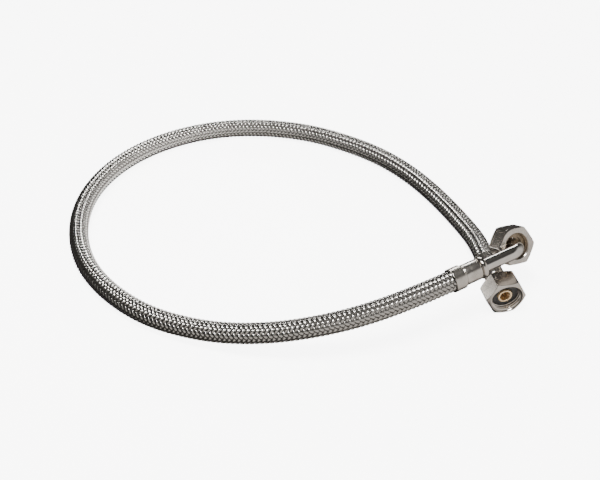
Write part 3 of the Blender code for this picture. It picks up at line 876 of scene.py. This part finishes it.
def make_nut(name, axis, body):
    """A hexagon nut as one grid, angle by row.

    Outside, r = apothem / cos(angle to the flat's middle), held under a rounded corner; each chamfer row lies
    on the cone that meets the flats, so its edge is the true arc.  Inside, the radius rises and falls with
    the phase z / pitch - angle / turn, which winds a right-hand thread.
    """
    angle = np.radians((np.arange(6)[:, None] * 60.0 + SECTOR[None, :]).ravel())
    columns = len(angle)
    flat = np.mod(angle, math.radians(60.0)) - math.radians(30.0)
    hexagon = APOTHEM / np.cos(flat)
    hexagon = hexagon - np.log1p(np.exp((hexagon - CORNER) / CORNER_SOFTNESS)) * CORNER_SOFTNESS
    one = np.ones(columns)
    front_arc = -np.maximum(hexagon - FACE_RADIUS, 0.0) * SLOPE
    rear_arc = -NUT_LENGTH + np.maximum(hexagon - REAR_FACE_RADIUS, 0.0) * SLOPE
    rows = []

    def add(radius, height):
        rows.append((radius * one, height * one))

    add(10.62 * MM, -0.12 * MM)
    add(10.72 * MM, -0.03 * MM)
    add(10.86 * MM, 0.0)
    add(10.96 * MM, -0.02 * MM)
    for share in (0.02, 0.35, 0.70, 0.96):
        add(FACE_RADIUS + (hexagon - FACE_RADIUS) * share, front_arc * share - 0.04 * MM)
    add(hexagon, front_arc - 0.12 * MM)
    for share in np.linspace(0.02, 0.98, 9):
        add(hexagon, front_arc + (rear_arc - front_arc) * share)
    add(hexagon, rear_arc + 0.12 * MM)
    rear_reach = np.minimum(hexagon, REAR_FACE_RADIUS)
    for share in (0.96, 0.6, 0.3, 0.02):
        reach = rear_reach + (hexagon - rear_reach) * share
        add(reach, -NUT_LENGTH + (rear_arc + NUT_LENGTH) * share + 0.03 * MM)
    rear_start = len(rows)
    for radius in np.linspace(11.75, 9.35, 9):
        add(radius * MM, -NUT_LENGTH)
    for radius, depth in REAR_HOLE_MM:
        add(radius * MM, -depth * MM)
    depths = np.arange(10.05, 0.70, -0.14) * MM
    phase = np.mod(-depths[:, None] / THREAD_PITCH - angle[None, :] / math.tau, 1.0)
    groove = np.clip(1.25 * (1.0 - np.abs(2.0 * phase - 1.0)) - 0.12, 0.0, 1.0)
    groove = groove * groove * (3.0 - 2.0 * groove)
    fade = np.clip((10.05 * MM - depths) / (0.9 * MM), 0.0, 1.0)[:, None]
    relief = 10.0 * MM * (1.0 - fade) + (THREAD_CREST + (THREAD_ROOT - THREAD_CREST) * groove) * fade
    sink = THREAD_CREST + np.clip(1.5 * MM - depths, 0.0, None)[:, None] * 1.45
    walls = np.maximum(relief, np.minimum(sink, 10.5 * MM))
    for wall, depth in zip(walls, depths):
        add(wall, -depth)
    add(np.maximum(walls[-1], 10.44 * MM), -0.55 * MM)
    add(10.53 * MM, -0.30 * MM)

    radius = np.stack([row[0] for row in rows])
    height = np.stack([row[1] for row in rows])
    shape = radius.shape
    points = axis.lay(radius, height, np.broadcast_to(angle, shape)).reshape(-1, 3)
    flat_middle = 9
    middle = np.stack([radius[:, flat_middle], height[:, flat_middle]], axis=-1)
    travel = centimetres(np.linalg.norm(np.diff(middle, axis=0), axis=1))
    travel -= travel[rear_start]
    charts = {"turning": ring_chart(travel, columns)}
    return add_surface(name, points, ring_faces(*shape), NICKEL_NUT, charts, body, [name],
                       32.0)


make_ferrule("straight_ferrule", straight_crimp)
make_straight_tail()
make_ring("straight_slip_ring", straight_axis, SLIP_RING_BORE, SLIP_RING_FRONT, SLIP_RING_BACK, BRASS,
          "straight_swivel")
make_nut("straight_nut", straight_axis, "straight_union")
make_ring("straight_washer", straight_axis, 5.05 * MM, WASHER_FRONT, WASHER_BACK, WASHER, "straight_seal")

make_ferrule("elbow_ferrule", elbow_crimp)
make_elbow_tail()
make_elbow_tube()
make_ring("elbow_flange", elbow_axis, 4.8 * MM, FLANGE_FRONT, FLANGE_BACK, BRASS, "hose_line")
make_ring("elbow_slip_ring", elbow_axis, SLIP_RING_BORE, SLIP_RING_FRONT, SLIP_RING_BACK, BRASS,
          "elbow_swivel")
make_nut("elbow_nut", elbow_axis, "elbow_union")
make_ring("elbow_washer", elbow_axis, 4.8 * MM, WASHER_FRONT, WASHER_BACK, WASHER, "elbow_seal")


# ============================================================================================================
# floor and glow card
# ============================================================================================================

def make_floor():
    """A wide square floor just under the object."""
    half, level = 2.5, -0.00006
    corners = [(-half, -half, level), (half, -half, level), (half, half, level), (-half, half, level)]
    mesh = bpy.data.meshes.new("studio_floor")
    mesh.from_pydata(corners, [], [(0, 1, 2, 3)])
    mesh.materials.append(studio_floor())
    floor = bpy.data.objects.new("studio_floor", mesh)
    bpy.context.scene.collection.objects.link(floor)
    floor.visible_glossy = False


make_floor()


def make_glow_card():
    """A pale card inside the loop that only the metal mirrors: an ellipse, x = a cos t and y = b sin t."""
    corners, level = 48, 0.0003
    turn = np.linspace(0.0, math.tau, corners, endpoint=False)
    x = -0.172 + 0.082 * np.cos(turn)
    y = 0.105 + 0.100 * np.sin(turn)
    points = np.stack([x, y, np.full(corners, level)], axis=-1)
    mesh = bpy.data.meshes.new("glow_card")
    mesh.from_pydata(points.tolist(), [], [list(range(corners))])
    sheet = Sheet("glow_card")
    sheet.put("Base Color", tone(0.9, 0.9, 0.9))
    sheet.put("Emission Color", tone(1.0, 0.98, 0.95))
    sheet.put("Emission Strength", 1.4)
    mesh.materials.append(sheet.material)
    card = bpy.data.objects.new("glow_card", mesh)
    bpy.context.scene.collection.objects.link(card)
    card.visible_camera = False
    card.visible_shadow = False
    card.visible_diffuse = False


make_glow_card()
